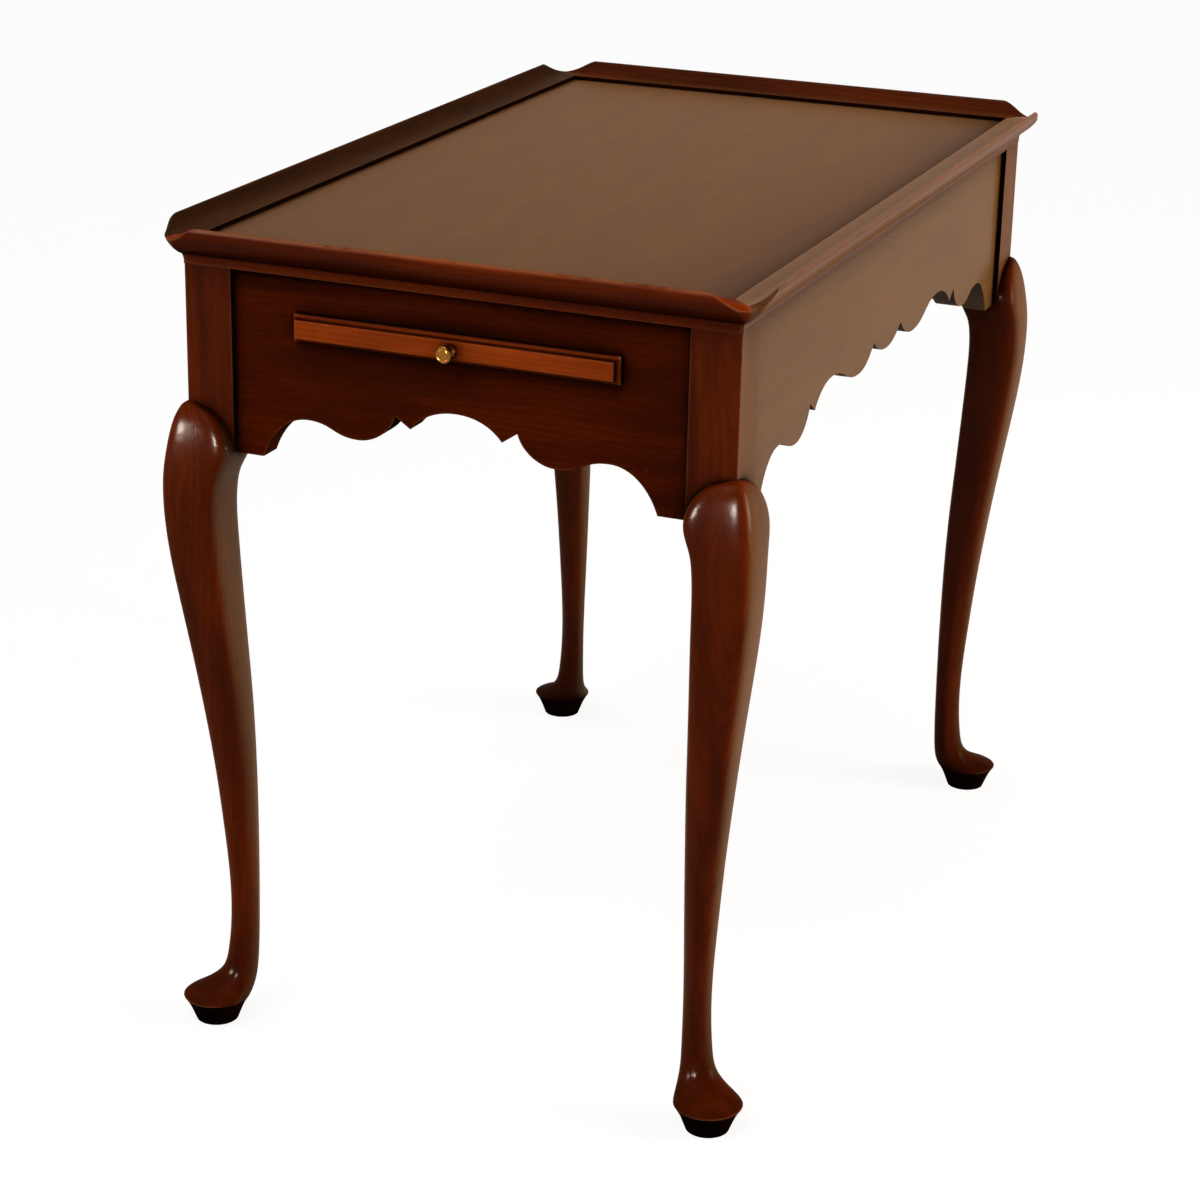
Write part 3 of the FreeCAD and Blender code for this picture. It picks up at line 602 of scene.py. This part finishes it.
def zinc_plated_steel(name):
    """Dull zinc-plated steel with mottled plating."""
    material, tree = new_material(name)
    place = add(tree, "ShaderNodeTexCoord").outputs["Object"]
    mottle = add(tree, "ShaderNodeTexNoise", {
        "Vector": place, "Scale": 1 / (MOTTLE_MM * MM), "Detail": 4.0})
    clean = add(tree, "ShaderNodeMapRange", {
        "Value": mottle, "From Min": MOTTLE_CUT[0], "From Max": MOTTLE_CUT[1]},
        interpolation_type="SMOOTHSTEP")
    bright, dull = STEEL_TONES
    colour = add(tree, "ShaderNodeMix", {
        "Factor": clean, "A": linear(dull), "B": linear(bright)}, data_type="RGBA")
    rough = add(tree, "ShaderNodeMapRange", {
        "Value": clean, "To Min": STEEL_ROUGHNESS[1], "To Max": STEEL_ROUGHNESS[0]})
    surface = add(tree, "ShaderNodeBsdfPrincipled", {
        "Base Color": colour, "Roughness": rough, "Metallic": 1.0})
    add(tree, "ShaderNodeOutputMaterial", {"Surface": surface})
    return material


steel = zinc_plated_steel("zinc_plated_steel")
for node in sorted(nodes):
    if kind_of(node, ("block_screws", "top_screws", "knob_stud")):
        dress(node, steel)
print("dressed the screws and studs")

# %% [markdown]
# ## Slide stops
#
# Two short pegs stand in each slide board and stop it from being drawn right out. They are turned
# from the same mahogany as the boards, end grain up, so they take the lacquered finish too.

# %% Dress the stops
STOP_HEART_MM = 20.0
STOP_TILT = 0.02
for node in sorted(nodes):
    if node.startswith("slide_stops"):
        heart_mm = tuple(boards.uniform(-STOP_HEART_MM, STOP_HEART_MM) for _ in range(3))
        dress(node, lacquered_mahogany(
            "mahogany_" + node, "Z", heart_mm, STOP_TILT, *STAIN["slide_board"]))
print("dressed the stops")

# %% [markdown]
# ## Floor
#
# The table stands on a plain pale floor in a light studio. The floor looks white because it is
# lifted where the camera or a reflection sees it. A paler paint would do that too, but it would
# throw too much light up under the table. The lift leaves room for the table's soft shadow.

# %% Floor
FLOOR_SIZE = 40.0
FLOOR_COLOUR = "#72777d"
FLOOR_ROUGHNESS = 0.9
FLOOR_LIFT = 0.875

floor_mesh = bpy.data.meshes.new("floor")
half = FLOOR_SIZE / 2
floor_mesh.from_pydata([(-half, -half, 0), (half, -half, 0), (half, half, 0), (-half, half, 0)], [],
                       [(0, 1, 2, 3)])
floor = bpy.data.objects.new("floor", floor_mesh)
bpy.context.scene.collection.objects.link(floor)
paint, floor_tree = new_material("pale_floor_paint")
path = add(floor_tree, "ShaderNodeLightPath").outputs
seen = add(floor_tree, "ShaderNodeMath", {
    0: path["Is Camera Ray"], 1: path["Is Glossy Ray"]}, operation="MAXIMUM")
seen = add(floor_tree, "ShaderNodeMath", {
    0: seen, 1: path["Is Transmission Ray"]}, operation="MAXIMUM")
lift = add(floor_tree, "ShaderNodeMath", {0: seen, 1: FLOOR_LIFT}, operation="MULTIPLY")
floor_surface = add(floor_tree, "ShaderNodeBsdfPrincipled", {
    "Base Color": linear(FLOOR_COLOUR), "Roughness": FLOOR_ROUGHNESS, "Specular IOR Level": 0.0,
    "Emission Color": (1, 1, 1, 1), "Emission Strength": lift})
add(floor_tree, "ShaderNodeOutputMaterial", {"Surface": floor_surface})
floor_mesh.materials.append(paint)
print("floor", FLOOR_SIZE, "m across")

# %% [markdown]
# ## Sky and lamps
#
# Most light comes from a broad patch of ceiling, with a softbox above the slide end and one beside
# the long apron. Two bulbs far in front only show as the paired highlights on the knees. The sky is
# pale at the horizon, where the tray mirrors it, with a warm wall and a dim ceiling above. A single
# studio picture wrapped round the table would light it as well, but lamps can be moved one by one.

# %% Sky and lamps
SKY_HORIZON = "#e4e0da"
SKY_WALL = "#a98a68"
SKY_HIGH = "#6e6258"
WALL_FOOT = (0.24, 0.34)  # heights of a direction where the horizon gives way to the warm wall
WALL_HEAD = (0.5, 0.66)   # and where the wall gives way to the dim ceiling

world = bpy.data.worlds.new("studio")
world.use_nodes = True
sky_tree = world.node_tree
sky_tree.nodes.clear()
aim = add(sky_tree, "ShaderNodeTexCoord").outputs["Generated"]
height = add(sky_tree, "ShaderNodeSeparateXYZ", {"Vector": aim}).outputs["Z"]
above_horizon = add(sky_tree, "ShaderNodeMapRange", {
    "Value": height, "From Min": WALL_FOOT[0], "From Max": WALL_FOOT[1]},
    interpolation_type="SMOOTHSTEP")
wall = add(sky_tree, "ShaderNodeMix", {
    "Factor": above_horizon, "A": linear(SKY_HORIZON), "B": linear(SKY_WALL)}, data_type="RGBA")
above_wall = add(sky_tree, "ShaderNodeMapRange", {
    "Value": height, "From Min": WALL_HEAD[0], "From Max": WALL_HEAD[1]},
    interpolation_type="SMOOTHSTEP")
sky = add(sky_tree, "ShaderNodeMix", {
    "Factor": above_wall, "A": wall, "B": linear(SKY_HIGH)}, data_type="RGBA")
background = add(sky_tree, "ShaderNodeBackground", {"Color": sky, "Strength": 1.0})
add(sky_tree, "ShaderNodeOutputWorld", {"Surface": background})
bpy.context.scene.world = world

CEILING_BOUNCE = 1.05     # watts per square metre, from a broad patch of ceiling
CEILING_SPREAD = math.radians(80)
CEILING_TURN = (math.radians(-28), math.radians(-16), 0.0)
bounce = bpy.data.lights.new("ceiling_bounce", "SUN")
bounce.energy = CEILING_BOUNCE
bounce.angle = CEILING_SPREAD
ceiling = bpy.data.objects.new("ceiling_bounce", bounce)
ceiling.rotation_euler = CEILING_TURN
bpy.context.scene.collection.objects.link(ceiling)

LAMPS = {  # place in metres, size in metres, watts, colour
    "softbox_above": ((-1.4, 0.3, 2.0), 0.8, 10.0, "#fff0e0"),
    "softbox_right": ((0.4, -2.1, 0.9), 1.0, 46.0, "#ffe6cc"),
}
GLINTS = {  # small bulbs, far off, that only show as reflections
    "bulb_left": ((-2.4, 1.9, 1.0), 0.36, 400.0, "#fff0e0"),
    "bulb_front": ((-2.5, -0.2, 1.1), 0.36, 340.0, "#fff0e0"),
}
TABLE_MIDDLE = Vector((0.0, 0.0, 0.5))
for name, (place, size, watts, colour) in (LAMPS | GLINTS).items():
    lamp = bpy.data.lights.new(name, "AREA")
    lamp.shape = "SQUARE"
    lamp.size = size
    lamp.energy = watts
    lamp.color = linear(colour)[:3]
    holder = bpy.data.objects.new(name, lamp)
    holder.location = place
    holder.rotation_euler = (TABLE_MIDDLE - Vector(place)).to_track_quat("-Z", "Y").to_euler()
    holder.visible_diffuse = name in LAMPS
    holder.visible_camera = False
    bpy.context.scene.collection.objects.link(holder)
bpy.context.scene.view_settings.view_transform = "Standard"
print("lamps:", ", ".join(LAMPS | GLINTS))
